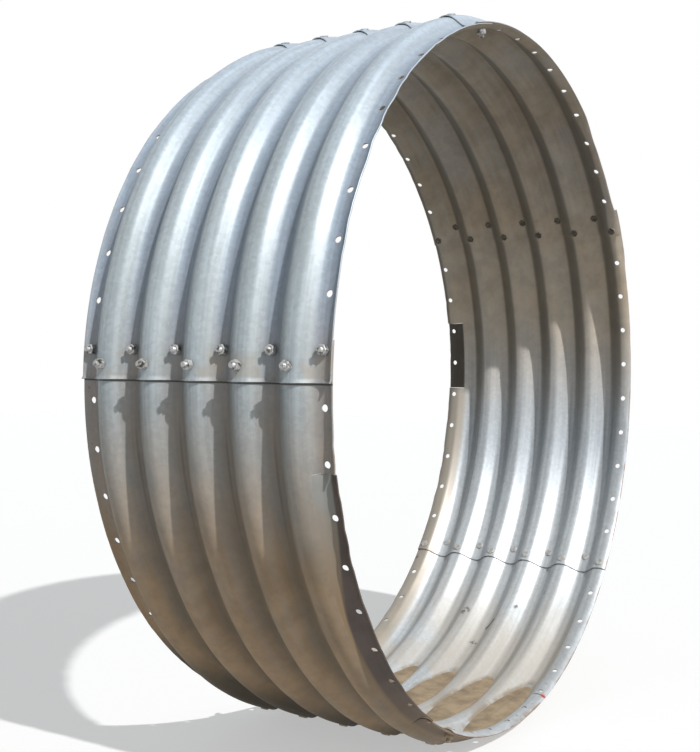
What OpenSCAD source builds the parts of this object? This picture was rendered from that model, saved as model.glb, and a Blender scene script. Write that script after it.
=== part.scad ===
// Culvert ring of five bolted, lapped plates of corrugated steel.
// Millimetres, +Z up. The ring's axis is level along Y, its near rim is at -Y.
// Angles run from +X towards +Z. A plate starts at its outer lap and runs clockwise.

/* [Ring] */
// Outside diameter over the crests
crest_diameter = 3000; // [2700:10:3400]
// Angle of the valley bolt row in the left seam
seam_angle = 175.2; // [173:0.2:177]

/* [Corrugation] */
// Distance from crest to crest
pitch = 200; // [190:1:215]
// Height from valley to crest, on the middle of the sheet
depth = 55; // [48:1:60]
// Thickness of the sheet
thickness = 5; // [3:0.5:7]
// Bend radius of crests and valleys, on the middle of the sheet
bend_radius = 53; // [46:1:56]
// Sheet beyond the rim's hole row
lip = 35; // [26:1:38]

/* [Seams] */
// Gap left between two lapped plates at their flanks
lap_clearance = 0.2; // [0.1:0.1:0.6]
// Distance from the valley row to the crest row
row_gap = 53; // [46:1:60]
// Distance from the crest row to the outer plate's edge
outer_margin = 48; // [36:1:55]
// Distance from the valley row to the inner plate's edge
inner_margin = 38; // [30:1:50]

/* [Holes] */
// Bolt hole diameter
hole_diameter = 24; // [18:1:28]
// Hole steps along one plate's rim, from seam to seam
rim_steps = 10; // [8:1:12]

/* [Bent lips] */
// Angle by which the slit lips are bent out of line
lip_bend = 6.5; // [2:0.5:8]
// Width of the slits beside them
slit = 2; // [1:0.5:6]
// Depth of the tear in the lower right lip
tear = 25; // [10:1:30]

/* [Hidden] */
$fn = 200;
PLATES = 5;
CRESTS = 5;
SPAN = 360 / PLATES;
LOWEST = 3;
ARC_STEPS = 3;
HALF = pitch / 2;
// A bend is limited by its flank, which is straight for at least a short way.
FLANK_LIMIT = 0.96;
BEND = min(bend_radius, FLANK_LIMIT * (HALF * HALF + depth * depth) / (4 * depth));
LIFT = 2 * BEND - depth;
FLANK = asin(2 * BEND / sqrt(HALF * HALF + LIFT * LIFT)) - atan2(LIFT, HALF);
CREST_R = crest_diameter / 2;
VALLEY_R = CREST_R - thickness / 2 - depth;
RIM_Y = CRESTS * HALF;
CREASE_Y = RIM_Y - HALF / 2;
LIP_END = min(FLANK, asin(min(1, lip / BEND)));
ROOT = 6;
ROOT_THINNING = 0.4;
BORE_LENGTH = depth + thickness;
BORE_SEAM_DEG = 30;
MEAN_R = VALLEY_R + depth / 2;
function arc_deg(length) = length / MEAN_R * 180 / PI;
ROW_DEG = arc_deg(row_gap);
START_DEG = ROW_DEG + arc_deg(outer_margin);
END_DEG = arc_deg(inner_margin);
SLIT_DEG = arc_deg(slit);
STEP_DEG = SPAN / rim_steps;
// Each plate's centre is shifted a little, so its start lies over the plate before.
LAP = (thickness + lap_clearance) / cos(FLANK);
SHIFT = LAP / (2 * sin(SPAN / 2));
SHIFT_DEG = (START_DEG - END_DEG) / 2 + 90 - SPAN / 2;
// The lowest plate's crests stand on z = 0.
CENTRE_Z = CREST_R - SHIFT * sin(seam_angle - LOWEST * SPAN + SHIFT_DEG);
// Ends of the slit lips and the tear's place, in hole steps from the plate's first seam
FAR_LIP = [-4.83, -2.79] * STEP_DEG;
NEAR_LIP = [-7.875, -1.278] * STEP_DEG;
TEAR_DEG = -5.17 * STEP_DEG;

// Stations of the sheet's middle line: [y, height above the valley, slope].
function arc(y, side, top, from, to) = [
  for (i = [0 : ARC_STEPS])
    let (t = from + (to - from) * i / ARC_STEPS)
    [y + side * BEND * sin(t), top ? depth - BEND + BEND * cos(t) : BEND - BEND * cos(t),
     (top ? -side : side) * t]
];
function later(list) = [for (i = [1 : len(list) - 1]) list[i]];
function joined(lists) = [for (l = lists) for (s = l) s];
function wave(k) =
  let (y = -RIM_Y + HALF + k * pitch)
  joined([
    arc(y, -1, true, FLANK, 0),
    later(arc(y, 1, true, 0, FLANK)),
    k < CRESTS - 1 ? arc(y + HALF, -1, false, FLANK, 0) : [],
    k < CRESTS - 1 ? later(arc(y + HALF, 1, false, 0, FLANK)) : []
  ]);
SHEET_LINE = joined([
  arc(-RIM_Y, -1, false, LIP_END, 0),
  later(arc(-RIM_Y, 1, false, 0, FLANK)),
  joined([for (k = [0 : CRESTS - 1]) wave(k)]),
  arc(RIM_Y, -1, false, FLANK, 0),
  later(arc(RIM_Y, 1, false, 0, LIP_END))
]);

// A slit lip turns about its crease. Its root narrows and runs on inside the flank.
function turned(s, c, b) = [
  c[0] + (s[0] - c[0]) * cos(b) - (s[1] - c[1]) * sin(b),
  c[1] + (s[0] - c[0]) * sin(b) + (s[1] - c[1]) * cos(b),
  s[2] + b
];
function near_lip_line(b) =
  let (c = [-CREASE_Y, depth / 2, FLANK])
  joined([
    [for (s = arc(-RIM_Y, -1, false, LIP_END, 0)) turned(s, c, b)],
    [for (s = later(arc(-RIM_Y, 1, false, 0, FLANK))) turned(s, c, b)],
    [c, [c[0] + ROOT * cos(FLANK), c[1] + ROOT * sin(FLANK), FLANK, ROOT_THINNING]]
  ]);
function mirrored(line) = [
  for (i = [len(line) - 1 : -1 : 0])
    let (s = line[i])
    [-s[0], s[1], -s[2], s[3]]
];
// Half the sheet's thickness at a station
function half(s) = thickness / 2 * (is_num(s[3]) ? s[3] : 1);

// A strip of sheet along a line of stations, swept about the plate's own centre.
module sweep(line, from, to) {
  outer = [for (s = line) [VALLEY_R + s[1] + half(s) * cos(s[2]), half(s) * sin(s[2]) - s[0]]];
  inner = [for (i = [len(line) - 1 : -1 : 0])
    let (s = line[i])
    [VALLEY_R + s[1] - half(s) * cos(s[2]), -half(s) * sin(s[2]) - s[0]]];
  turn(from, to)
    polygon(concat(outer, inner));
}

module turn(from, to) {
  translate([SHIFT * cos(SHIFT_DEG), 0, SHIFT * sin(SHIFT_DEG)])
    rotate([90, 0, 0])
      rotate([0, 0, from])
        rotate_extrude(angle = to - from)
          children();
}

// The part of a lip that is slit free: side -1 is the near rim, 1 the far rim.
module lip_cut(side, from, to) {
  turn(from, to)
    translate([VALLEY_R - depth, side < 0 ? CREASE_Y : -RIM_Y - 2 * lip])
      square([3 * depth, RIM_Y + 2 * lip - CREASE_Y]);
}

module bent_lip(side, from, to, bend) {
  line = near_lip_line(bend);
  sweep(side < 0 ? line : mirrored(line), from, to);
}

module hole(angle, y, radius) {
  rotate([0, -angle, 0])
    translate([radius, y, 0])
      rotate([0, 90, 0])
        rotate([0, 0, BORE_SEAM_DEG])
          cylinder(h = BORE_LENGTH, d = hole_diameter, center = true);
}

module plate_holes() {
  for (end = [0, -SPAN]) {
    for (k = [0 : CRESTS])
      hole(end, k * pitch - RIM_Y, VALLEY_R);
    for (k = [0 : CRESTS - 1])
      hole(end + ROW_DEG, k * pitch - RIM_Y + HALF, VALLEY_R + depth);
  }
  for (j = [1 : rim_steps - 1])
    for (y = [-RIM_Y, RIM_Y])
      hole(-j * STEP_DEG, y, VALLEY_R);
}

// A plate with its holes; lips = list of [side, from, to, bend] for the slit lips.
module plate(index, lips = []) {
  translate([0, 0, CENTRE_Z])
    rotate([0, -(seam_angle - index * SPAN), 0])
      difference() {
        union() {
          difference() {
            sweep(SHEET_LINE, -SPAN - END_DEG, START_DEG);
            for (l = lips)
              lip_cut(l[0], l[1], l[2]);
          }
          for (l = lips)
            bent_lip(l[0], l[1] + SLIT_DEG, l[2] - SLIT_DEG, l[3]);
        }
        plate_holes();
        children();
      }
}

module upper_left_plate() {
  color("#b4b9c0")
    plate(0);
}

module crown_plate() {
  color("#a9aeb4")
    plate(1);
}

// Two hole steps of the far lip are slit free and stand outwards.
module right_plate() {
  color("#b4b9c0")
    plate(2, [[1, FAR_LIP[0], FAR_LIP[1], -lip_bend]]);
}

// A short slit is torn into the near lip.
module lower_right_plate() {
  color("#a9aeb4")
    plate(LOWEST)
      rotate([0, -TEAR_DEG, 0])
        translate([VALLEY_R - depth, -RIM_Y - 2 * lip, -slit / 2])
          cube([2 * depth, lip + tear, slit]);
}

// Most of the near lip is slit free and stands inwards.
module lower_left_plate() {
  color("#9c9a96")
    plate(4, [[-1, NEAR_LIP[0], NEAR_LIP[1], lip_bend]]);
}

upper_left_plate();
crown_plate();
right_plate();
lower_right_plate();
lower_left_plate();
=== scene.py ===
"""Visual model of a culvert ring: five lapped, bolted plates of corrugated steel on a studio floor."""

import math

import bpy
from bpy.props import FloatProperty, FloatVectorProperty, IntProperty, PointerProperty
from mathutils import Matrix, Vector


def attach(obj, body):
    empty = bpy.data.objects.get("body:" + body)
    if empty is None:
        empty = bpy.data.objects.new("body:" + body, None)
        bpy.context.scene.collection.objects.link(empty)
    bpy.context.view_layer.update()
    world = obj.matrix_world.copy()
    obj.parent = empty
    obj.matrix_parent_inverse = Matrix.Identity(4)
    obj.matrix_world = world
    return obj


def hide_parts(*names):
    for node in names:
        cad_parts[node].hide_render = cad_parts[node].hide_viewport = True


bl_info = {
    "name": "Corrugated Culvert Ring",
    "version": (1, 0, 0),
    "blender": (4, 5, 0),
    "location": "View3D > Sidebar > Culvert",
    "description": "Models a lapped and bolted culvert ring with its silt and its studio stage",
    "category": "Object",
}

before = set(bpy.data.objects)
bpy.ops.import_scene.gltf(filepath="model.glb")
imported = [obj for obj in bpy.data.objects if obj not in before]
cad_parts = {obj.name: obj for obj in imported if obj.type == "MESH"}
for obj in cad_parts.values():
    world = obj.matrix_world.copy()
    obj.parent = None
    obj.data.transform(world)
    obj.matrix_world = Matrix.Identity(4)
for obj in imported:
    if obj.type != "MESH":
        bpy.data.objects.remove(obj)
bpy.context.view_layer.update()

# Clockwise from the left seam, seen from the near rim.
PLATE_NODES = ("upper_left_plate", "crown_plate", "right_plate", "lower_right_plate", "lower_left_plate")
SEAM_NAMES = ("left", "crown", "right", "lower_right", "bottom")
# Seams whose bolts were dropped in from outside, so that their nuts lie inside.
HEADS_OUT = ("crown", "bottom")
# Among these, the seam whose bolt at the near rim has its head inside after all.
NEAR_HEAD_IN = "bottom"
CRESTS = 5
SPAN = math.radians(72)
NEAR, FAR = -1, 1
LOWEST_PLATE = 3
# Ends of the slit lips and the tear's place, in hole steps from their plate's first seam.
FAR_LIP = (-4.83, -2.79)
NEAR_LIP = (-7.875, -1.278)
TEAR_STEP = -5.17
# The plate whose outer end stands well off the plate below.
LIFTED_PLATE = 0
# Spacing of the two extra rows of points at a plate's outer end.
EDGE_STEP = math.radians(0.35)
# Dents in the near lip by plate: middle and half width in degrees, and depth towards the axis.
DENTS = {"crown_plate": (46, 13, 0.024), "right_plate": (30, 8, -0.018)}
# Depth of the foot under a bolt head or a nut, and height of the chamfer at its top.
FOOT = 0.0022
CHAMFER = 0.0016
ROD_SIDES = 20
# How far a head or a nut rises to clear the hollow side of a bend.
HOLLOW_LIFT = 0.0016
# Turn from one bolt to the next about their own axes.
SPIN_STEP = math.radians(37)
# Colour sockets of the mix node, and how the nodes are laid out.
MIX_FIRST, MIX_SECOND, MIX_RESULT = 6, 7, 2
NODES_TO_COLUMN, NODE_WIDTH, NODE_HEIGHT = 5, 220, 260
WHITE = (1, 1, 1, 1)
# How far the silt's outline runs up a groove's straight flank, how its top rises to the right, and its height
# above the floor in each groove from the near one on.
SILT_BANK = 0.043
SILT_SLOPE = math.radians(3.5)
SILT_LEVELS = (0.043, 0.047, 0.047, 0.046, 0.034)
# Scuffs low down on the inner side: angle in degrees, place along the axis, radius.
SCUFFS = ((-56.5, 0.107, 0.034), (-63.2, 0.001, 0.030), (-53.1, -0.145, 0.026))
# A scratch there: angle in degrees and place along the axis at its two ends, and its radius.
SCRATCH = ((-58.6, -0.029), (-57.2, -0.051))
SCRATCH_RADIUS = 0.020


def metres(label, description, value, **settings):
    return FloatProperty(name=label, description=description, default=value, unit="LENGTH", **settings)


def degrees(label, description, value):
    return FloatProperty(name=label, description=description, default=math.radians(value), subtype="ANGLE")


def number(label, description, value):
    return FloatProperty(name=label, description=description, default=value)


def tint(label, description, value):
    return FloatVectorProperty(name=label, description=description, default=value, size=3, subtype="COLOR")


class RingSizes(bpy.types.PropertyGroup):
    """Sizes of the ring and its corrugated plates"""

    crest_diameter: metres("Crest diameter", "Outside diameter over the crests", 3.0, min=1.0)
    seam_angle: degrees("Seam angle", "Angle of the valley bolt row in the left seam", 175.2)
    pitch: metres("Pitch", "Distance from crest to crest", 0.200)
    depth: metres("Depth", "Height from valley to crest", 0.055)
    thickness: metres("Thickness", "Thickness of the sheet", 0.005)
    bend_radius: metres("Bend radius", "Radius of crests and valleys", 0.053)
    lip: metres("Lip", "Sheet beyond the rim's hole row", 0.035)
    lap_clearance: metres("Lap clearance", "Gap between lapped plates at their flanks", 0.0002, precision=4)
    row_gap: metres("Row gap", "From a seam's valley row to its crest row", 0.053)
    outer_margin: metres("Outer margin", "From the crest row to the outer plate's edge", 0.048)
    inner_margin: metres("Inner margin", "From the valley row to the inner plate's edge", 0.038)
    hole_diameter: metres("Hole diameter", "Bolt hole diameter", 0.024)
    rim_steps: IntProperty(name="Rim steps", description="Hole steps along a plate's rim", default=10, min=4)
    lip_bend: degrees("Lip bend", "How far a slit lip is bent", 6.5)
    slit: metres("Slit", "Width of the slits beside a bent lip", 0.002)
    tear: metres("Tear", "Depth of the tear in the lower right lip", 0.060)
    edge_flare: metres("Edge flare", "How far a plate's outer edge stands off", 0.0018, precision=4)
    lifted_edge: metres("Lifted edge", "How far the lifted plate's outer edge stands off", 0.007, precision=4)


class BoltSizes(bpy.types.PropertyGroup):
    """Sizes of one seam bolt and its nut"""

    shank: metres("Shank", "Shank diameter", 0.020)
    flats: metres("Flats", "Width across flats", 0.034)
    head: metres("Head", "Height of the head", 0.006)
    nut: metres("Nut", "Height of the nut", 0.018)
    overhang: metres("Overhang", "Thread standing out of the nut", 0.016)


class FinishColours(bpy.types.PropertyGroup):
    """Colours of the weathered finish, and of painted light and shade"""

    zinc: tint("Zinc", "Zinc on the outer side", (0.385, 0.440, 0.468))
    # Painted sky reflection: the zinc high up on the outer side is lighter and bluer.
    sky_lit_zinc: tint("High zinc", "Zinc high up on the outer side", (0.41, 0.485, 0.560))
    # Painted shade: darker, bluer zinc along the outer valleys.
    shaded_valley_zinc: tint("Valley zinc", "Zinc along the outer valleys", (0.29, 0.365, 0.455))
    worn_zinc: tint("Worn zinc", "Zinc on the inner side", (0.375, 0.410, 0.440))
    # Painted light: brighter zinc low on the inner side, where the sunlit wall lies.
    lit_low_zinc: tint("Scoured zinc", "Zinc low on the inner side, scoured by water", (0.505, 0.535, 0.555))
    # Dust, and painted shade with a brown ground reflection high up on the inner side.
    dust_and_shade: tint("Dust", "Dried dust on the inner side", (0.253, 0.204, 0.147))
    # Earth, with painted shade and a brown ground reflection, low on the outer side.
    earth_and_reflection: tint("Earth", "Dried earth low on the outer side", (0.320, 0.222, 0.132))
    # Dark grime for scuffs and nut patches, and painted shade in sheltered places, under the lap edge and on
    # lips and heads.
    grime_and_shade: tint("Grime", "Dark film in sheltered places", (0.065, 0.056, 0.038))
    # Painted shade: the dark colour of the slit lips, which face away from the light.
    lip_shade: tint("Mud", "Dark mud on the slit lips", (0.090, 0.068, 0.058))
    rust: tint("Rust", "Rust at edges and specks", (0.25, 0.14, 0.09))
    silt: tint("Silt", "Silt lying in the grooves", (0.35, 0.265, 0.172))
    film: tint("Film", "Pale dried film low on the inner side", (0.50, 0.43, 0.34))
    paint: tint("Paint", "Red mark beside the torn lip", (0.62, 0.16, 0.13))
    bright_nut: tint("Bright nut", "Nuts and threads where they are clean", (0.46, 0.455, 0.45))


class StageLook(bpy.types.PropertyGroup):
    """Floor, light and camera"""

    sun_strength: number("Sun", "Strength of the key light", 3.4)
    fill: number("Fill", "Strength of the even light all round", 0.16)
    softbox: number("Softbox", "Power of the softbox beside the camera", 60.0)
    floor_lift: number("Floor lift", "How much paler the floor looks than its light makes it", 0.45)
    lens: number("Lens", "Focal length in millimetres", 53.92)


class Ring:
    """The ring's derived sizes, in metres and radians. Angles run from +X towards +Z about the axis."""

    def __init__(self, sizes):
        self.sizes = sizes
        self.half = sizes.pitch / 2
        lift = 2 * sizes.bend_radius - sizes.depth
        slope = math.asin(2 * sizes.bend_radius / math.hypot(self.half, lift))
        self.flank = slope - math.atan2(lift, self.half)
        self.valley = sizes.crest_diameter / 2 - sizes.thickness / 2 - sizes.depth
        self.mean = self.valley + sizes.depth / 2
        self.rim_y = CRESTS * self.half
        self.crease_y = self.rim_y - self.half / 2
        self.row = sizes.row_gap / self.mean
        self.start = self.row + sizes.outer_margin / self.mean
        self.end = -SPAN - sizes.inner_margin / self.mean
        self.slit = sizes.slit / self.mean
        self.step = SPAN / sizes.rim_steps
        lap = (sizes.thickness + sizes.lap_clearance) / math.cos(self.flank)
        self.shift = lap / (2 * math.sin(SPAN / 2))
        self.shift_turn = (self.start + self.end + SPAN) / 2 + math.pi / 2 - SPAN / 2
        lowest = self.seam(LOWEST_PLATE) + self.shift_turn
        self.centre = Vector((0, 0, sizes.crest_diameter / 2 - self.shift * math.sin(lowest)))

    def seam(self, index):
        return self.sizes.seam_angle - index * SPAN

    def plate_centre(self, index):
        return self.centre + self.shift * outward(self.seam(index) + self.shift_turn)

    def lap_offset(self, local):
        """How far a plate's sheet stands off the ring's mean circle at an angle from its own start."""
        return self.shift * math.cos(local - self.shift_turn)

    def valleys(self):
        return [k * self.sizes.pitch - self.rim_y for k in range(CRESTS + 1)]

    def crests(self):
        return [k * self.sizes.pitch - self.rim_y + self.half for k in range(CRESTS)]

    def slit_lips(self):
        """Lips that are slit free: node to (rim, first angle, last angle, bend)."""
        bend = self.sizes.lip_bend
        return {
            "right_plate": (FAR, FAR_LIP[0] * self.step, FAR_LIP[1] * self.step, bend),
            "lower_left_plate": (NEAR, NEAR_LIP[0] * self.step, NEAR_LIP[1] * self.step, -bend),
        }

    def tear_angle(self):
        return self.seam(LOWEST_PLATE) + TEAR_STEP * self.step

    def on_sheet(self, angle, y):
        """About where the sheet's middle lies at an angle and a place along the axis."""
        height = (1 - math.cos(math.pi * (y + self.rim_y) / self.half)) / 2 * self.sizes.depth
        return around(self.centre, angle, self.valley + height, y)


def outward(angle):
    return Vector((math.cos(angle), 0, math.sin(angle)))


def around(centre, angle, radius, y):
    return centre + radius * outward(angle) + Vector((0, y, 0))


def sheet_line(ring, arc_steps):
    """The middle of the sheet as (y, height above the valley), from the near edge to the far edge."""
    radius = ring.sizes.bend_radius
    depth = ring.sizes.depth
    lip_end = math.asin(min(1, ring.sizes.lip / radius))

    def valley(y, first, last):
        turns = [first + (last - first) * i / (2 * arc_steps) for i in range(2 * arc_steps + 1)]
        return [(y + radius * math.sin(t), radius - radius * math.cos(t)) for t in turns]

    def crest(y):
        turns = [ring.flank * (i / arc_steps - 1) for i in range(2 * arc_steps + 1)]
        return [(y + radius * math.sin(t), depth - radius + radius * math.cos(t)) for t in turns]

    line = []
    for k, y in enumerate(ring.valleys()):
        first = -lip_end if k == 0 else -ring.flank
        last = lip_end if k == CRESTS else ring.flank
        line += valley(y, first, last)
        if k == 0:
            line.append((y + ring.half / 2, depth / 2))
        if k < CRESTS:
            line += crest(y + ring.half)
        if k == CRESTS - 1:
            line.append((y + 1.5 * ring.half, depth / 2))
    return line


# Modelling helpers


def object_mode():
    bpy.ops.object.mode_set(mode="OBJECT")


def edit_mode():
    bpy.ops.object.mode_set(mode="EDIT")


def deselect_all():
    if bpy.context.object and bpy.context.object.mode != "OBJECT":
        object_mode()
    bpy.ops.object.select_all(action="DESELECT")


def only(obj):
    """Makes one object the only selected and active one."""
    deselect_all()
    obj.select_set(True)
    bpy.context.view_layer.objects.active = obj


def newest(name):
    """The object just added, given a name."""
    obj = bpy.context.object
    obj.name = name
    return obj


def edit_all(obj):
    """Opens one object in edit mode with all of it selected."""
    only(obj)
    edit_mode()
    bpy.ops.mesh.select_all(action="SELECT")


def pick(obj, kind, test):
    """Selects, in edit mode, the vertices or the faces that pass a test."""
    object_mode()
    mesh = obj.data
    for items in (mesh.vertices, mesh.edges, mesh.polygons):
        items.foreach_set("select", [False] * len(items))
    chosen = mesh.vertices if kind == "VERT" else mesh.polygons
    chosen.foreach_set("select", [bool(test(item)) for item in chosen])
    edit_mode()
    bpy.ops.mesh.select_mode(type=kind)


def face_outwards():
    """Turns all faces of the open mesh outwards and leaves edit mode."""
    bpy.ops.mesh.select_all(action="SELECT")
    bpy.ops.mesh.normals_make_consistent(inside=False)
    object_mode()


def settle():
    """Applies the selected object's place, turn and scale to its mesh."""
    bpy.ops.object.transform_apply(location=True, rotation=True, scale=True)


def shade(obj, sharpest):
    """Shades an object smooth where its faces meet at less than an angle in degrees."""
    only(obj)
    bpy.ops.object.shade_smooth_by_angle(angle=math.radians(sharpest))


def apply_modifier(obj, kind, **settings):
    """Adds a modifier, sets it and applies it."""
    only(obj)
    modifier = obj.modifiers.new(kind.title(), kind)
    for key, value in settings.items():
        setattr(modifier, key, value)
    bpy.ops.object.modifier_apply(modifier=modifier.name)


def round_edges(obj, width, sharpest):
    """Bevels the edges where faces meet at more than an angle in degrees."""
    limit = math.radians(sharpest)
    apply_modifier(obj, "BEVEL", width=width, segments=2, limit_method="ANGLE", angle_limit=limit)


def combine(obj, tool, operation):
    """Adds a tool's shape to an object or cuts it away, and removes the tool."""
    apply_modifier(obj, "BOOLEAN", object=tool, operation=operation, solver="EXACT")
    bpy.data.objects.remove(tool)


def finish_faces(obj, test):
    """Gives the faces that pass a test the object's second material."""
    only(obj)
    pick(obj, "FACE", test)
    obj.active_material_index = 1
    bpy.ops.object.material_slot_assign()
    object_mode()


def weigh(obj, name, weight):
    """Gives each vertex a weight in a vertex group, worked out from its place."""
    group = obj.vertex_groups.new(name=name)
    for v in obj.data.vertices:
        group.add([v.index], weight(v.co), "REPLACE")
    return name


def ramp(value, low, high):
    """0 below low, 1 above high, smooth between."""
    t = min(1, max(0, (value - low) / (high - low)))
    return t * t * (3 - 2 * t)


def extrude(step):
    bpy.ops.mesh.extrude_region_move(TRANSFORM_OT_translate={"value": step})


def swept_sheet(name, points, turns, centre):
    """An open sheet: a line extruded point by point, then spun clockwise about a centre in stretches."""
    speck = 0.001
    weld = 0.00001
    deselect_all()
    bpy.ops.mesh.primitive_plane_add(size=speck, location=points[0])
    sheet = newest(name)
    edit_mode()
    bpy.ops.mesh.select_mode(type="VERT")
    bpy.ops.mesh.merge(type="CENTER")
    for here, there in zip(points, points[1:]):
        extrude(there - here)
    bpy.ops.mesh.select_all(action="SELECT")
    for angle, steps in turns:
        bpy.ops.mesh.spin(steps=steps, angle=angle, center=centre, axis=(0, -1, 0))
    bpy.ops.mesh.select_all(action="SELECT")
    bpy.ops.mesh.remove_doubles(threshold=weld)
    face_outwards()
    settle()
    return sheet


# Plates


def plate_sheet(ring, index):
    """The bare sheet of one plate, its outer end flared and its slit lip cut free and bent."""
    node = PLATE_NODES[index]
    seam = ring.seam(index)
    centre = ring.plate_centre(index)
    arc_steps = 5
    line = sheet_line(ring, arc_steps)
    breaks = [ring.start - k * EDGE_STEP for k in range(3)] + [ring.end]
    lip = ring.slit_lips().get(node)
    if lip:
        _, low, high, _ = lip
        breaks += [high, high - ring.slit, low + ring.slit, low]
    breaks.sort(reverse=True)
    column = math.radians(1.2)
    turns = [(a - b, max(1, round((a - b) / column))) for a, b in zip(breaks, breaks[1:])]
    points = [around(centre, seam + ring.start, ring.valley + h, y) for y, h in line]
    sheet = swept_sheet(node + "_sheet", points, turns, centre)
    flare = ring.sizes.lifted_edge if index == LIFTED_PLATE else ring.sizes.edge_flare
    flare_edge(sheet, ring, centre, seam, flare)
    if lip:
        free_lip(sheet, ring, line, centre, seam, lip)
    return sheet


def local_angle(place, centre, seam):
    """A place's angle from its plate's seam, between -pi and pi."""
    turn = math.atan2(place.z - centre.z, place.x - centre.x) - seam
    return (turn + math.pi) % (2 * math.pi) - math.pi


def flare_edge(sheet, ring, centre, seam, flare):
    """Turns a plate's outer end outwards a little, so that its edge stands off the plate below."""
    second_row_share = 0.08
    only(sheet)
    for step, share in ((0, 1.0), (1, second_row_share)):
        turn = ring.start - step * EDGE_STEP
        pick(sheet, "VERT", lambda v: abs(local_angle(v.co, centre, seam) - turn) < EDGE_STEP / 4)
        scale = 1 + share * flare / ring.mean
        bpy.ops.transform.resize(value=(scale, 1, scale), center_override=centre)
    object_mode()


def free_lip(sheet, ring, line, centre, seam, lip):
    """Cuts the slits at both ends of a lip and bends the lip about its crease."""
    rim, low, high, bend = lip
    near = 0.0001

    def in_slit(face):
        turn = local_angle(face.center, centre, seam)
        beyond = rim * face.center.y > ring.crease_y
        return beyond and (high - ring.slit < turn < high or low < turn < low + ring.slit)

    only(sheet)
    pick(sheet, "FACE", in_slit)
    bpy.ops.mesh.delete(type="FACE")
    for y, h in line:
        reach = rim * y - ring.crease_y
        if reach <= near:
            continue

        def in_row(v, y=y):
            turn = local_angle(v.co, centre, seam)
            return abs(v.co.y - y) < near and low + ring.slit - near < turn < high - ring.slit + near

        pick(sheet, "VERT", in_row)
        scale = 1 + reach * math.tan(bend) / (ring.valley + h)
        bpy.ops.transform.resize(value=(scale, 1, scale), center_override=centre)
    object_mode()


def hole_cutter(ring, index):
    """Round pins for every bolt hole of a plate, and a thin blade for the torn lip."""
    pin_sides = 28
    pin_length = 0.06
    seam = ring.seam(index)
    deselect_all()
    places = []
    for end in (0, -SPAN):
        places += [(end, y, 0) for y in ring.valleys()]
        places += [(end + ring.row, y, ring.sizes.depth) for y in ring.crests()]
    for j in range(1, ring.sizes.rim_steps):
        places += [(-j * ring.step, y, 0) for y in (-ring.rim_y, ring.rim_y)]
    cutter = None
    for local, y, height in places:
        angle = seam + local
        bpy.ops.mesh.primitive_cylinder_add(
            vertices=pin_sides,
            radius=ring.sizes.hole_diameter / 2,
            depth=pin_length,
            location=around(ring.centre, angle, ring.valley + height, y),
            rotation=(0, math.pi / 2 - angle, 0),
        )
        if cutter is None:
            cutter = bpy.context.object
            edit_mode()
    if index == LOWEST_PLATE:
        angle = ring.tear_angle()
        length = ring.sizes.lip + ring.sizes.tear
        middle = ring.rim_y + 2 * ring.sizes.lip - length / 2
        bpy.ops.mesh.primitive_cube_add(
            size=1,
            location=around(ring.centre, angle, ring.valley, -middle),
            rotation=(0, math.pi / 2 - angle, 0),
            scale=(3 * ring.sizes.slit, length, pin_length),
        )
    object_mode()
    return cutter


def make_plate(ring, index, materials):
    """One plate: swept, slit, slightly uneven, given its thickness, edge-rounded and drilled."""
    node = PLATE_NODES[index]
    seam = ring.seam(index)
    plate = plate_sheet(ring, index)
    seam_calm = math.radians(7)
    seam_free = math.radians(14)
    rim_calm = 0.01

    def clear_of_seams(place):
        turn = local_angle(place, ring.centre, seam)
        return ramp(min(abs(turn), abs(turn + SPAN)), seam_calm, seam_free)

    def at_rim(place):
        return clear_of_seams(place) * ramp(abs(place.y), ring.rim_y - rim_calm, ring.rim_y + ring.sizes.lip)

    # Each kind of wave: the vertex group it moves, its length and its height.
    waves = (
        (weigh(plate, "sheet", clear_of_seams), 0.40, 0.006),
        (weigh(plate, "rim", at_rim), 0.07, 0.009),
    )
    for group, size, strength in waves:
        texture = bpy.data.textures.new(group + "_waves", "CLOUDS")
        texture.noise_scale = size
        texture.noise_depth = 1
        apply_modifier(
            plate, "DISPLACE", texture=texture, texture_coords="LOCAL", strength=strength, mid_level=0.5,
            vertex_group=group,
        )
    if node in DENTS:
        dent_lip(plate, ring, *DENTS[node])
    apply_modifier(
        plate, "SOLIDIFY", thickness=ring.sizes.thickness, offset=0, use_even_offset=True,
        use_quality_normals=True,
    )
    round_edges(plate, width=0.0008, sharpest=60)
    combine(plate, hole_cutter(ring, index), "DIFFERENCE")
    plate.vertex_groups.clear()
    shade(plate, sharpest=35)
    for material in materials:
        plate.data.materials.append(material)
    give_lip_shade(plate, ring, index)
    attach(plate, "root")
    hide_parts(node)


def dent_lip(plate, ring, middle, half_width, depth):
    """Pushes a stretch of the near lip in towards the ring's axis, or out where the depth is negative."""
    angle = math.radians(middle)
    reach = math.radians(half_width)
    root = ring.rim_y - ring.half / 2 if depth > 0 else ring.rim_y

    def in_dent(place):
        turn = abs(local_angle(place, ring.centre, angle))
        return ramp(-turn, -reach, -0.5 * reach) * ramp(-place.y, root, ring.rim_y + ring.sizes.lip)

    group = weigh(plate, "dent", in_dent)
    for axis, share in (("X", math.cos(angle)), ("Z", math.sin(angle))):
        apply_modifier(
            plate, "DISPLACE", direction=axis, strength=-depth * share, mid_level=0, vertex_group=group,
        )


def give_lip_shade(plate, ring, index):
    """Gives a slit lip its second material with painted shade, which runs on to the bottom seam on the near
    one.
    """
    lip = ring.slit_lips().get(PLATE_NODES[index])
    if not lip:
        return
    rim, low, high, _ = lip
    centre = ring.plate_centre(index)
    seam = ring.seam(index)
    last = ring.start if rim == NEAR else high

    def on_lip(face):
        return rim * face.center.y > ring.crease_y and low < local_angle(face.center, centre, seam) < last

    finish_faces(plate, on_lip)


# Seam bolts


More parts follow.
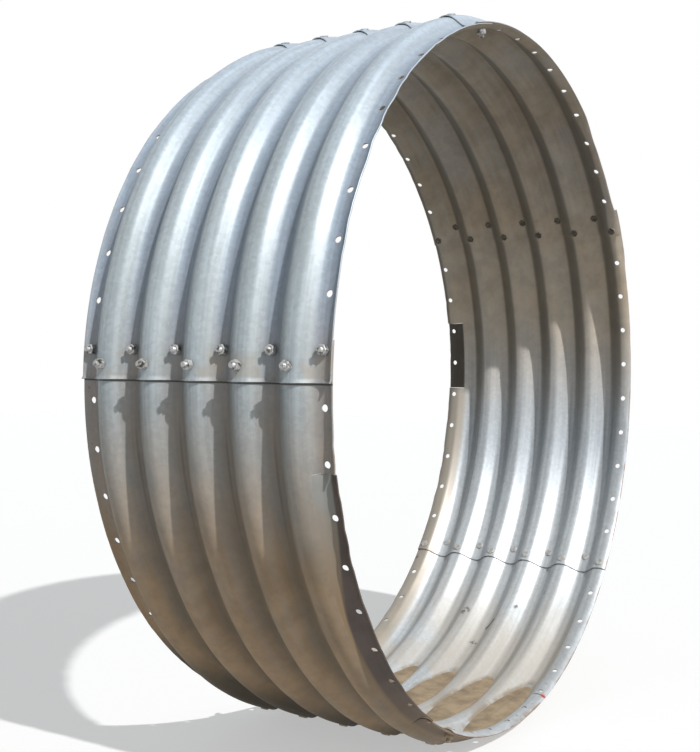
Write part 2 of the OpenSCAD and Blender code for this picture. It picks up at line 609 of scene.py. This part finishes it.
def hexagon(name, flats, height):
    """A hexagonal block on z = 0 with a narrower foot below it and chamfered corners at its top."""
    foot_inset, top_inset = 0.09 * flats, 0.07 * flats
    level = 0.9
    deselect_all()
    bpy.ops.mesh.primitive_cylinder_add(
        vertices=6, radius=flats / math.sqrt(3), depth=height, location=(0, 0, height / 2)
    )
    block = newest(name)
    settle()
    pick(block, "FACE", lambda face: face.normal.z < -level)
    bpy.ops.mesh.inset(thickness=foot_inset)
    bpy.ops.transform.translate(value=(0, 0, -FOOT))
    pick(block, "FACE", lambda face: face.normal.z > level)
    bpy.ops.mesh.inset(thickness=top_inset, depth=CHAMFER)
    object_mode()
    round_edges(block, width=0.0007, sharpest=20)
    return block


def threaded_rod(radius, low, high, thread_from):
    """A rod along z whose upper part carries thread ridges."""
    ridge = 0.0025
    root, tip = 0.90, 0.78
    deselect_all()
    bpy.ops.mesh.primitive_circle_add(
        vertices=ROD_SIDES, radius=radius, fill_type="NGON", location=(0, 0, low)
    )
    rod = newest("rod")
    edit_all(rod)
    extrude((0, 0, thread_from - low))
    for scale in (root, 1 / root) * round((high - thread_from) / ridge) + (tip,):
        extrude((0, 0, ridge / 2))
        bpy.ops.transform.resize(value=(scale, scale, 1))
    face_outwards()
    settle()
    return rod


def lap_stack(ring):
    """Height of the two lapped sheets under a bolt."""
    return ring.lap_offset(0) - ring.lap_offset(-SPAN) + ring.sizes.thickness


def bolt_and_nut(ring, bolt):
    """One bolt and one nut about z = 0, the outer plate's face, with the head below the lapped sheets."""
    stack = lap_stack(ring)
    thread_play = 0.0003
    head = hexagon("seam_bolt", bolt.flats, bolt.head)
    edit_all(head)
    bpy.ops.transform.resize(value=(1, 1, -1))
    bpy.ops.transform.translate(value=(0, 0, -stack - FOOT))
    face_outwards()
    rod = threaded_rod(
        radius=bolt.shank / 2,
        low=-stack - FOOT - bolt.head / 2,
        high=FOOT + bolt.nut + bolt.overhang,
        thread_from=FOOT + bolt.nut / 2,
    )
    combine(head, rod, "UNION")
    nut = hexagon("seam_nut", bolt.flats, bolt.nut)
    edit_all(nut)
    bpy.ops.transform.translate(value=(0, 0, FOOT))
    deselect_all()
    bpy.ops.mesh.primitive_cylinder_add(vertices=ROD_SIDES, radius=bolt.shank / 2 + thread_play, depth=0.1)
    combine(nut, bpy.context.object, "DIFFERENCE")
    for part in (head, nut):
        shade(part, sharpest=28)
    return head, nut


def finish_fasteners(ring, bolt, nut, colours):
    """Gives nuts and threads one finish and the heads another."""
    bright = bolt_material(colours)
    bolt.data.materials.append(bright)
    nut.data.materials.append(bright)
    bolt.data.materials.append(head_material(colours))
    finish_faces(bolt, lambda face: face.center.z < -lap_stack(ring))


def bolt_places(ring, seam_index):
    """Where a seam's bolts stand on the outer plate: (angle, radius of its face, y, whether in a valley)."""
    seam = ring.seam(seam_index)
    half_sheet = ring.sizes.thickness / 2
    valley = ring.valley + ring.lap_offset(0) + half_sheet
    crest = ring.valley + ring.sizes.depth + ring.lap_offset(ring.row) + half_sheet
    places = [(seam, valley, y, True) for y in ring.valleys()]
    places += [(seam + ring.row, crest, y, False) for y in ring.crests()]
    return places


def copies_at(model, name, matrices):
    """Copies of a model at given places, joined into one mesh at the origin."""
    deselect_all()
    made = []
    for matrix in matrices:
        copy = model.copy()
        copy.data = model.data.copy()
        bpy.context.collection.objects.link(copy)
        copy.matrix_world = matrix
        copy.select_set(True)
        made.append(copy)
    bpy.context.view_layer.objects.active = made[0]
    bpy.ops.object.join()
    joined = newest(name)
    joined.data.name = name
    settle()
    return joined


def seam_matrices(ring, seam_index, is_nut):
    """The placing matrix of each bolt or nut in a seam, each turned differently about its own axis."""
    seam = SEAM_NAMES[seam_index]
    over = Matrix.Translation((0, 0, -lap_stack(ring))) @ Matrix.Rotation(math.pi, 4, "X")
    cupped = HOLLOW_LIFT if is_nut else -HOLLOW_LIFT
    matrices = []
    for i, (angle, radius, y, in_valley) in enumerate(bolt_places(ring, seam_index)):
        place = Matrix.Translation(around(ring.centre, angle, radius, y))
        tilt = Matrix.Rotation(math.pi / 2 - angle, 4, "Y")
        spin = Matrix.Rotation(SPIN_STEP * (i + 2 * seam_index), 4, "Z")
        at_near_rim = y < ring.crease_y * NEAR
        head_out = seam in HEADS_OUT and not (seam == NEAR_HEAD_IN and at_near_rim)
        flip = over if head_out else Matrix()
        hollow_seat = in_valley == (is_nut != head_out)
        lift = Matrix.Translation((0, 0, cupped if hollow_seat else 0))
        matrices.append(place @ tilt @ flip @ lift @ spin)
    return matrices


# Silt


def silt_pool(ring, name, y, level):
    """Silt in one groove: the groove's face swept along the bottom, cut to its top and closed by it."""
    sunk = 0.001
    arc_steps = 6
    sweep_steps = 40
    rim_width, swell = 0.012, 0.0015
    aligned, skin = 0.999, 0.0005
    radius = ring.sizes.bend_radius - ring.sizes.thickness / 2 + sunk
    drop = ring.sizes.depth - ring.sizes.bend_radius
    reach = math.radians(20)
    first = reach - math.pi / 2
    centre = ring.plate_centre(LOWEST_PLATE)
    turns = [ring.flank * (i / arc_steps - 1) for i in range(2 * arc_steps + 1)]
    line = [(radius * math.sin(t), drop + radius * math.cos(t)) for t in turns]
    edge, height = line[-1]
    bank = (edge + SILT_BANK, height - SILT_BANK * math.tan(ring.flank))
    line = [(-bank[0], bank[1])] + line + [bank]
    points = [around(centre, first, ring.valley + h, y + across) for across, h in line]
    pool = swept_sheet(name, points, [(2 * reach, sweep_steps)], centre)
    upward = Vector((-math.sin(SILT_SLOPE), 0, math.cos(SILT_SLOPE)))
    middle = Vector((0, y, level))
    edit_all(pool)
    bpy.ops.mesh.bisect(plane_co=middle, plane_no=upward, use_fill=True, clear_outer=True)

    def on_top(face):
        return abs(face.normal.dot(upward)) > aligned and (face.center - middle).dot(upward) > -skin

    pick(pool, "FACE", on_top)
    bpy.ops.mesh.inset(thickness=rim_width)
    bpy.ops.transform.translate(value=(0, 0, swell))
    face_outwards()
    shade(pool, sharpest=40)
    return pool


# Materials


class Nodes:
    """A node tree, its nodes laid out in columns as they are added."""

    def __init__(self, tree):
        self.tree = tree

    def node(self, kind, inputs=None, **settings):
        """Adds a node, sets it and feeds its inputs."""
        made = self.tree.nodes.new(kind)
        column, row = divmod(len(self.tree.nodes), NODES_TO_COLUMN)
        made.location = (-NODE_WIDTH * column, -NODE_HEIGHT * row)
        for key, value in settings.items():
            setattr(made, key, value)
        for key, value in (inputs or {}).items():
            self.feed(made.inputs[key], value)
        return made

    def feed(self, target, value):
        """Links a socket, or sets it where the value is a plain number or colour."""
        if isinstance(value, bpy.types.NodeSocket):
            self.tree.links.new(value, target)
        else:
            target.default_value = value

    def math(self, operation, a, b=0.0, clamp=False):
        return self.node("ShaderNodeMath", {0: a, 1: b}, operation=operation, use_clamp=clamp).outputs[0]

    def between(self, value, low, high, out_low=0.0, out_high=1.0):
        """A smooth step of a value from low to high."""
        inputs = {"Value": value, "From Min": low, "From Max": high, "To Min": out_low, "To Max": out_high}
        return self.node("ShaderNodeMapRange", inputs, interpolation_type="SMOOTHSTEP").outputs["Result"]

    def mix(self, factor, a, b):
        """Two colours mixed."""
        inputs = {"Factor": factor, MIX_FIRST: a, MIX_SECOND: b}
        return self.node("ShaderNodeMix", inputs, data_type="RGBA").outputs[MIX_RESULT]

    def seen_white(self):
        """1 for rays from the camera, or seen in gloss or through glass, and 0 for the rest."""
        rays = self.node("ShaderNodeLightPath").outputs
        seen = self.math("MAXIMUM", rays["Is Camera Ray"], rays["Is Glossy Ray"])
        return self.math("MAXIMUM", seen, rays["Is Transmission Ray"])


class Shader(Nodes):
    """A new material with one surface, and its patterns on the piece's own coordinates."""

    def __init__(self, name):
        self.material = bpy.data.materials.new(name)
        self.material.use_nodes = True
        super().__init__(self.material.node_tree)
        self.tree.nodes.clear()
        self.surface = self.node("ShaderNodeBsdfPrincipled")
        self.node("ShaderNodeOutputMaterial", {"Surface": self.surface.outputs["BSDF"]})
        self.place = self.node("ShaderNodeTexCoord").outputs["Object"]

    def vector(self, operation, inputs):
        return self.node("ShaderNodeVectorMath", inputs, operation=operation).outputs

    def noise(self, scale, detail=3.0, roughness=0.5, stretch=(1, 1, 1)):
        """A noise on the piece, stretched by a factor on each axis."""
        place = self.vector("MULTIPLY", {0: self.place, 1: stretch})[0]
        inputs = {"Vector": place, "Scale": scale, "Detail": detail, "Roughness": roughness}
        return self.node("ShaderNodeTexNoise", inputs).outputs["Fac"]

    def product(self, *factors):
        """Several values multiplied together."""
        result = factors[0]
        for factor in factors[1:]:
            result = self.math("MULTIPLY", result, factor)
        return result

    def tinted(self, colour, grey):
        """A colour made lighter or darker by a value."""
        return self.vector("SCALE", {0: colour, "Scale": grey})[0]

    def spot(self, middle, radius):
        """1 at a place and 0 beyond a radius round it."""
        distance = self.vector("DISTANCE", {0: self.place, 1: middle})["Value"]
        return self.between(distance, radius, 0.4 * radius)

    def cells(self, scale):
        """A flake pattern, one random grey to each cell."""
        flakes = self.node("ShaderNodeTexVoronoi", {"Vector": self.place, "Scale": scale})
        return self.node("ShaderNodeSeparateColor", {0: flakes.outputs["Color"]}).outputs[0]

    def parts(self, vector):
        """The three parts of a vector."""
        return self.node("ShaderNodeSeparateXYZ", {0: vector}).outputs

    def bump(self, height, strength, distance):
        inputs = {"Strength": strength, "Distance": distance, "Height": height}
        self.set(normal=self.node("ShaderNodeBump", inputs).outputs["Normal"])

    def set(self, **values):
        for name, value in values.items():
            self.feed(self.surface.inputs[name.replace("_", " ").title()], value)


def rgba(colour, gain=1.0):
    return tuple(gain * c for c in colour) + (1.0,)


class RingMasks:
    """Sockets that tell where on the ring a point lies: its side, height, crest or valley, rim and facing."""

    def __init__(self, s, ring):
        self.x, self.y, self.z = s.parts(s.place)
        high = s.math("SUBTRACT", self.z, ring.centre.z)
        radial = s.node("ShaderNodeCombineXYZ", {0: self.x, 2: high}).outputs[0]
        normal = s.node("ShaderNodeNewGeometry").outputs["Normal"]
        facing = s.vector("DOT_PRODUCT", {0: radial, 1: normal})["Value"]
        self.outside = s.between(facing, -0.1, 0.1)
        self.inside = s.math("SUBTRACT", 1.0, self.outside)
        self.from_valley = s.math("PINGPONG", s.math("ADD", self.y, ring.rim_y), ring.half)
        self.valley = s.between(self.from_valley, ring.half, 0.0)
        self.rim = s.math("ABSOLUTE", self.y)
        self.faces_far = s.between(s.parts(normal)[1], 0.05, 0.42)


def zinc_material(ring, colours):
    """Weathered galvanised sheet: streaks along the plate, flakes, dust, grime, rust, scuffs and painted
    light and shade.
    """
    s = Shader("weathered_zinc")
    at = RingMasks(s, ring)
    streaks = s.noise(1.0, detail=4.0, stretch=(1.3, 60.0, 1.3))
    fine = s.noise(1.0, detail=3.0, stretch=(4.0, 260.0, 4.0))
    clouds = s.noise(2.2, detail=5.0, roughness=0.6)
    mottle = s.noise(9.0, detail=6.0, roughness=0.65)

    # Inner zinc turns brighter low down: painted light.
    low_down = s.between(at.z, 1.2, 0.65)
    inner = s.mix(low_down, rgba(colours.worn_zinc), rgba(colours.lit_low_zinc))
    # Outer zinc: painted sky reflection high up, painted shade along the valleys, darker below the left seam.
    outer = s.mix(s.between(at.z, 2.0, 2.9), rgba(colours.zinc), rgba(colours.sky_lit_zinc))
    outer = s.mix(s.between(at.valley, 0.5, 1.0), outer, rgba(colours.shaded_valley_zinc))
    outer = s.mix(s.between(at.z, 1.75, 1.35, 0.0, 0.6), outer, rgba(colours.zinc, 0.66))
    clean = s.mix(at.outside, inner, outer)
    tone = s.product(s.between(streaks, 0.3, 0.7, 0.88, 1.10), s.between(s.cells(70.0), 0.0, 1.0, 0.94, 1.06))
    colour = s.tinted(clean, tone)

    dust_and_shade = dust_and_shade_cover(s, at, clouds, streaks)
    # Dust and painted shade are paler low down, on the inner side only: the outer side counts as far above
    # the ring.
    far_above = 9.0
    fade_height = s.math("MAXIMUM", at.z, s.product(at.outside, far_above))
    paler_low_down = s.between(fade_height, 2.75, 1.6, 1.05, 2.0)
    dust_and_shade_tone = s.product(s.between(mottle, 0.35, 0.65, 0.86, 1.12), paler_low_down)
    dust_and_shade_colour = s.tinted(s.mix(at.outside, rgba(colours.dust_and_shade), rgba(colours.earth_and_reflection)), dust_and_shade_tone)
    rust = rust_cover(s, at, ring, mottle)
    above_edge, shadow_below_edge = lap_stain_and_shadow(s, at, ring, mottle)
    lip_edge = ring.rim_y + 0.8 * ring.sizes.lip
    knock = s.spot(around(ring.centre, ring.tear_angle(), ring.valley, -lip_edge), radius=0.019)
    # Layers; the first, second and fifth carry painted shade, and the ninth is a painted shadow line under
    # the lap.
    layers = (
        (dust_and_shade, dust_and_shade_colour),
        (far_lip_film(s, at, ring), rgba(colours.film, 0.66)),
        (silt_film(s, at, ring, clouds), rgba(colours.film)),
        (tide_mark(s, at, mottle), rgba(colours.silt, 0.75)),
        (shade_and_streaks(s, at, ring), rgba(colours.grime_and_shade)),
        (rust, rgba(colours.rust)),
        (scuffs(s, at, ring), rgba(colours.grime_and_shade)),
        (above_edge, rgba(colours.film, 0.70)),
        (shadow_below_edge, rgba(colours.grime_and_shade, 0.5)),
        (knock, rgba(colours.paint)),
    )
    for cover, layer in layers:
        colour = s.mix(cover, colour, layer)

    metal = s.math("MULTIPLY", s.math("SUBTRACT", 1.0, s.math("MAXIMUM", dust_and_shade, rust)), 0.28, clamp=True)
    rough = s.math("ADD", s.between(fine, 0.2, 0.8, 0.38, 0.48), s.product(dust_and_shade, 0.25))
    s.set(base_color=colour, metallic=metal, roughness=rough)
    relief = s.math("ADD", s.product(streaks, 0.6), s.product(clouds, 0.4))
    s.bump(relief, strength=0.10, distance=0.004)
    return s.material


def dust_and_shade_cover(s, at, clouds, streaks):
    """Dust in the outer valleys, earth and painted ground reflection low outside, painted shade high up
    inside.
    """
    patchy = s.math("ADD", s.product(clouds, 0.6), s.product(streaks, 0.4))
    broken = s.between(patchy, 0.36, 0.62)
    # Earth with painted shade and ground reflection low on the outer side.
    low_outside = s.product(at.outside, s.between(at.z, 1.65, 0.7))
    outer_valley = s.product(at.outside, at.valley, s.between(at.z, 2.0, 1.2, 0.10, 0.60))
    # Painted shade high up on the inner side.
    high_inside = s.product(at.inside, s.between(at.z, 1.05, 2.1, 0.0, 0.92))
    cover = s.math("ADD", s.math("MAXIMUM", low_outside, outer_valley), high_inside)
    return s.math("MULTIPLY", cover, s.between(broken, 0.0, 1.0, 0.84, 1.10), clamp=True)


def silt_film(s, at, ring, clouds):
    """Pale dried film in patches low on the inner side, short of the near rim."""
    patches = s.product(s.between(clouds, 0.40, 0.60), s.between(at.z, 0.55, 0.12, 0.0, 0.55))
    return s.product(at.inside, patches, s.between(at.y, -ring.rim_y, -ring.crease_y))


def far_lip_film(s, at, ring):
    """Dried film along the lower half of the far lip, on its inner side, its darker tone a painted shade."""
    far_lip = s.between(at.y, ring.crease_y - 0.025, ring.crease_y + 0.008)
    return s.product(at.inside, far_lip, s.between(at.z, 1.55, 1.35, 0.0, 0.85))


def tide_mark(s, at, mottle):
    """Broken brown edge on the sheet just above the silt."""
    above = s.math("SUBTRACT", at.z, s.product(at.x, math.tan(SILT_SLOPE)))
    edge = s.between(above, max(SILT_LEVELS) + 0.014, max(SILT_LEVELS))
    return s.product(at.inside, edge, s.between(mottle, 0.40, 0.58, 0.0, 0.8))


def shade_and_streaks(s, at, ring):
    """Painted shade on far-facing inner flanks, low outer valleys, by the near rim and beneath; dirt lines in
    outer valleys.
    """
    # Painted shade on inner flanks that face the far rim.
    flank = s.product(at.inside, at.faces_far, s.between(at.z, 0.85, 1.8, 0.0, 0.70))
    off_rim = s.between(at.rim, ring.rim_y, ring.crease_y)
    # Painted shade in the low outer valleys.
    near_valley = s.between(at.from_valley, 0.062, 0.004)
    valley = s.product(off_rim, near_valley, s.between(at.z, 1.7, 0.7, 0.10, 0.62))
    # Dirt lines along the outer valley bottoms.
    in_valley = s.between(at.from_valley, 0.012, 0.003)
    line = s.product(off_rim, in_valley, s.between(at.z, 1.55, 1.2, 0.0, 0.6))
    # Painted shade on the underside, reaching higher towards the far rim.
    underside_slope = 0.42
    underside_level = s.math("SUBTRACT", at.z, s.product(at.y, underside_slope))
    underside_shade = s.between(underside_level, 0.34, 0.12, 0.0, 0.86)
    # Painted shade by the near rim, low on the outer side.
    near = s.product(s.between(at.y, -0.38, -0.43), s.between(at.z, 1.4, 0.9, 0.0, 0.34))
    for share in (line, underside_shade, near):
        valley = s.math("MAXIMUM", valley, share)
    return s.math("ADD", flank, s.product(at.outside, valley), clamp=True)


def rust_cover(s, at, ring, mottle):
    """Rust in specks, along the cut edges and in faint stains by the rims."""
    specks = s.between(s.noise(38.0, detail=2.0), 0.68, 0.75)
    by_rim = s.between(at.rim, ring.rim_y - 0.04, ring.rim_y + 0.03)
    speckled = s.product(specks, s.between(by_rim, 0.0, 1.0, 0.12, 0.7))
    edge = s.between(at.rim, ring.rim_y + ring.sizes.lip - 0.0035, ring.rim_y + ring.sizes.lip - 0.001)
    edge = s.product(edge, s.between(at.z, 2.0, 1.3))
    patches = s.between(mottle, 0.40, 0.62)
    stains = s.product(patches, s.math("ADD", s.product(edge, 0.7), s.product(by_rim, 0.08)))
    return s.math("MAXIMUM", speckled, stains)


def lap_stain_and_shadow(s, at, ring, mottle):
    """Brown stain patches on the lifted lap round its bolts, and a painted shadow line on the sheet just
    below its edge.
    """
    edge = ring.plate_centre(LIFTED_PLATE) + ring.mean * outward(ring.seam(LIFTED_PLATE) + ring.start)
    height = s.math("SUBTRACT", at.z, edge.z)
    on_side = s.product(at.outside, s.between(at.x, 0.0, -0.2))
    # Painted shadow just below the lifted plate's edge.
    line = s.product(on_side, s.between(height, 0.001, -0.001), s.between(height, -0.008, -0.005, 0.0, 0.85))
    patches = s.product(on_side, s.between(height, 0.0, 0.03), s.between(height, 0.12, 0.07))
    return s.product(patches, s.between(mottle, 0.45, 0.60, 0.0, 0.5)), line


def scuffs(s, at, ring):
    """Dark marks low down on the inner side: a few large ones and sparse small ones."""
    sparse = s.between(s.noise(13.0, detail=5.0, roughness=0.6), 0.69, 0.74)
    small = s.product(sparse, s.between(at.z, 1.2, 0.8, 0.0, 0.65))
    marks = 0.0
    for angle, y, radius in SCUFFS:
        marks = s.math("MAXIMUM", marks, s.spot(ring.on_sheet(math.radians(angle), y), radius))
    marks = s.product(marks, s.between(s.noise(55.0, detail=3.0), 0.47, 0.56, 0.0, 0.8))
    (angle, y), (last_angle, last_y) = SCRATCH
    for share in (i / 4 for i in range(5)):
        turn = math.radians(angle + share * (last_angle - angle))
        dot = s.spot(ring.on_sheet(turn, y + share * (last_y - y)), SCRATCH_RADIUS)
        marks = s.math("MAXIMUM", marks, s.product(dot, 0.85))
    return s.product(at.inside, s.math("MAXIMUM", small, marks))


def shaded_lip_material(ring, colours):
    """The slit lips: painted shade from the crease on, and high up on the near one only towards its edge."""
    s = Shader("shaded_lip")
    at = RingMasks(s, ring)
    clouds = s.noise(7.0, detail=5.0, roughness=0.6)
    # Painted shade on the near lip, earthier low down.
    near_colour = s.mix(s.between(clouds, 0.3, 0.7), rgba(colours.lip_shade, 0.85), rgba(colours.lip_shade, 1.3))
    near_colour = s.mix(s.between(at.z, 0.55, 0.15, 0.0, 0.7), near_colour, rgba(colours.earth_and_reflection, 0.62))
    # Painted shade on the far lip.
    far_colour = s.mix(s.between(clouds, 0.3, 0.7), rgba(colours.lip_shade, 0.48), rgba(colours.grime_and_shade, 0.85))
    lip_shade = s.mix(s.between(at.y, -0.1, 0.1), near_colour, far_colour)
    sheet = s.mix(clouds, rgba(colours.dust_and_shade), rgba(colours.zinc, 0.7))
    sheet = s.mix(s.between(at.z, 1.25, 0.75), sheet, rgba(colours.earth_and_reflection, 0.72))
    narrowing = s.between(at.z, 0.66, 1.12, 0.0, 0.046)
    near_lip_shade = s.between(s.math("SUBTRACT", at.rim, narrowing), ring.crease_y + 0.004, ring.crease_y + 0.014)
    near_lip_shade = s.product(near_lip_shade, s.between(at.y, 0.1, -0.1))
    far_lip_shade = s.between(at.y, ring.crease_y - 0.010, ring.crease_y + 0.006)
    colour = s.mix(s.math("MAXIMUM", near_lip_shade, far_lip_shade), sheet, lip_shade)
    s.set(base_color=colour, metallic=0.08, roughness=0.66)
    s.bump(clouds, strength=0.15, distance=0.004)
    return s.material


def bolt_material(colours):
    """Bright galvanised nuts and threads, dark in patches and earthy low down."""
    s = Shader("galvanised_bolts")
    patches = s.noise(60.0, detail=4.0)
    colour = s.mix(s.between(patches, 0.48, 0.66), rgba(colours.bright_nut), rgba(colours.grime_and_shade))
    colour = s.mix(s.between(s.parts(s.place)[2], 0.9, 0.4), colour, rgba(colours.silt))
    rough = s.between(patches, 0.3, 0.7, 0.32, 0.6)
    s.set(base_color=colour, metallic=0.3, roughness=rough)
    s.bump(s.noise(300.0), strength=0.15, distance=0.001)
    return s.material


def head_material(colours):
    """Bolt heads: brighter low down as painted light, darker high up inside as painted shade, painted sky
    reflection at the crown.
    """
    s = Shader("bolt_heads")
    patches = s.noise(60.0, detail=4.0)
    # Painted light on the low heads.
    lit_low = s.mix(s.between(patches, 0.35, 0.7), rgba(colours.lit_low_zinc), rgba(colours.film, 0.7))
    # Painted shade on the heads high up inside.
    painted_dark = s.mix(s.between(patches, 0.3, 0.7), rgba(colours.grime_and_shade, 0.35), rgba(colours.dust_and_shade, 0.5))
    height = s.parts(s.place)[2]
    high = s.product(s.between(height, 1.0, 1.7), s.between(height, 2.75, 2.6))
    colour = s.mix(high, lit_low, painted_dark)
    # Painted sky reflection on the crown heads.
    colour = s.mix(s.between(height, 2.6, 2.75), colour, rgba(colours.sky_lit_zinc))
    s.set(base_color=colour, metallic=s.between(high, 0.0, 1.0, 0.25, 0.1), roughness=0.6)
    s.bump(s.noise(300.0), strength=0.15, distance=0.001)
    return s.material


def silt_material(colours):
    """Dried silt: tan, patchy and grainy."""
    s = Shader("dried_silt")
    patches = s.noise(14.0, detail=6.0, roughness=0.6)
    grains = s.noise(220.0, detail=2.0)
    colour = s.mix(s.between(patches, 0.32, 0.66), rgba(colours.silt, 0.62), rgba(colours.silt, 1.18))
    colour = s.mix(0.25, colour, s.mix(grains, rgba(colours.silt, 0.5), rgba(colours.silt, 1.4)))
    s.set(base_color=colour, metallic=0.0, roughness=0.9)
    s.bump(s.math("ADD", patches, s.math("MULTIPLY", grains, 0.3)), strength=0.5, distance=0.006)
    return s.material


# Stage


def add_floor(lift):
    """A pale floor that takes the shadow and looks a little paler to the camera than it is."""
    deselect_all()
    bpy.ops.mesh.primitive_plane_add(size=40)
    floor = newest("studio_floor")
    s = Shader("pale_floor")
    s.set(base_color=(0.55, 0.55, 0.54, 1), roughness=0.9)
    s.set(emission_color=WHITE, emission_strength=s.product(s.seen_white(), lift))
    floor.data.materials.append(s.material)


def add_world(scene, fill):
    """White as the camera sees it, and a faint even sky light for the rest."""
    sky = (0.78, 0.91, 1, 1)
    world = bpy.data.worlds.new("studio")
    scene.world = world
    world.use_nodes = True
    nodes = Nodes(world.node_tree)
    background = world.node_tree.nodes["Background"].inputs
    white = nodes.seen_white()
    nodes.feed(background["Color"], nodes.mix(white, sky, WHITE))
    nodes.feed(background["Strength"], nodes.between(white, 0.0, 1.0, fill, 1.0))


def add_lamps(look):
    """A sun as the key light and a softbox beside the camera."""
    sun_from = Vector((-0.248, -0.680, 0.690))
    box_from = Vector((-3.6, -5.6, 3.2))
    box_aim = Vector((0, 0, 1.4))
    sun_distance, sun_spread, box_width = 6, math.radians(1.2), 4.5
    deselect_all()
    bpy.ops.object.light_add(type="SUN", location=sun_distance * sun_from)
    sun = newest("key_light")
    sun.rotation_euler = sun_from.to_track_quat("Z", "Y").to_euler()
    sun.data.energy = look.sun_strength
    sun.data.angle = sun_spread
    bpy.ops.object.light_add(type="AREA", location=box_from)
    box = newest("softbox")
    box.rotation_euler = (box_from - box_aim).to_track_quat("Z", "Y").to_euler()
    box.data.shape = "DISK"
    box.data.size = box_width
    box.data.energy = look.softbox


def add_camera(scene, ring, lens):
    """The camera fitted to the photo, placed from the ring's centre."""
    stand = Vector((-4.397, -2.446, 0.1135))
    yaw, pitch, roll = math.radians(-57.92), math.radians(-1.169), math.radians(0.256)
    deselect_all()
    bpy.ops.object.camera_add()
    camera = newest("photo_camera")
    aim = Matrix.Rotation(yaw, 4, "Z") @ Matrix.Rotation(math.pi / 2 + pitch, 4, "X")
    camera.matrix_world = Matrix.Translation(ring.centre + stand) @ aim @ Matrix.Rotation(roll, 4, "Z")
    camera.data.lens = lens
    camera.data.sensor_width = 36
    scene.camera = camera


# Operators


class CULVERT_OT_add_plates(bpy.types.Operator):
    """Models the five lapped plates with their holes and slit lips"""

    bl_idname = "culvert.add_plates"
    bl_label = "Add Plates"

    def execute(self, context):
        colours = context.scene.culvert_finish
        ring = Ring(context.scene.culvert_ring)
        materials = (zinc_material(ring, colours), shaded_lip_material(ring, colours))
        for index in range(len(PLATE_NODES)):
            make_plate(ring, index, materials)
        return {"FINISHED"}


class CULVERT_OT_add_seam_bolts(bpy.types.Operator):
    """Models one bolt and nut and sets them along every seam"""

    bl_idname = "culvert.add_seam_bolts"
    bl_label = "Add Seam Bolts"

    def execute(self, context):
        scene = context.scene
        ring = Ring(scene.culvert_ring)
        models = bolt_and_nut(ring, scene.culvert_bolt)
        finish_fasteners(ring, *models, scene.culvert_finish)
        for seam_index, seam in enumerate(SEAM_NAMES):
            for model, kind in zip(models, ("bolts", "nuts")):
                matrices = seam_matrices(ring, seam_index, kind == "nuts")
                row = copies_at(model, f"{seam}_seam_{kind}", matrices)
                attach(row, "root")
        for model in models:
            bpy.data.objects.remove(model)
        return {"FINISHED"}


class CULVERT_OT_add_silt(bpy.types.Operator):
    """Models the silt lying in the inner grooves at the bottom"""

    bl_idname = "culvert.add_silt"
    bl_label = "Add Silt"

    def execute(self, context):
        scene = context.scene
        ring = Ring(scene.culvert_ring)
        finish = silt_material(scene.culvert_finish)
        for number, (y, level) in enumerate(zip(ring.crests(), SILT_LEVELS)):
            pool = silt_pool(ring, f"silt_{number + 1}", y, level)
            pool.data.materials.append(finish)
            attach(pool, "root")
        return {"FINISHED"}


class CULVERT_OT_add_stage(bpy.types.Operator):
    """Adds the pale floor, the studio light and the camera"""

    bl_idname = "culvert.add_stage"
    bl_label = "Add Stage"

    def execute(self, context):
        scene = context.scene
        look = scene.culvert_stage
        add_floor(look.floor_lift)
        add_world(scene, look.fill)
        add_lamps(look)
        add_camera(scene, Ring(scene.culvert_ring), look.lens)
        scene.view_settings.view_transform = "Standard"
        return {"FINISHED"}


class CULVERT_PT_panel(bpy.types.Panel):
    """Lists the ring's pieces and sizes"""

    bl_idname = "CULVERT_PT_panel"
    bl_label = "Culvert Ring"
    bl_space_type = "VIEW_3D"
    bl_region_type = "UI"
    bl_category = "Culvert"

    def draw(self, context):
        layout = self.layout
        for operator in OPERATORS:
            layout.operator(operator.bl_idname)
        for group in GROUPS:
            sizes = getattr(context.scene, group)
            box = layout.box()
            for name in sizes.__annotations__:
                box.prop(sizes, name)


GROUPS = {
    "culvert_ring": RingSizes,
    "culvert_bolt": BoltSizes,
    "culvert_finish": FinishColours,
    "culvert_stage": StageLook,
}
OPERATORS = (CULVERT_OT_add_plates, CULVERT_OT_add_seam_bolts, CULVERT_OT_add_silt, CULVERT_OT_add_stage)
CLASSES = (*GROUPS.values(), *OPERATORS, CULVERT_PT_panel)


def register():
    for cls in CLASSES:
        bpy.utils.register_class(cls)
    for name, group in GROUPS.items():
        setattr(bpy.types.Scene, name, PointerProperty(type=group))


def unregister():
    for name in GROUPS:
        delattr(bpy.types.Scene, name)
    for cls in reversed(CLASSES):
        bpy.utils.unregister_class(cls)


def main():
    register()
    bpy.ops.culvert.add_plates()
    bpy.ops.culvert.add_seam_bolts()
    bpy.ops.culvert.add_silt()
    bpy.ops.culvert.add_stage()


if __name__ == "__main__":
    main()
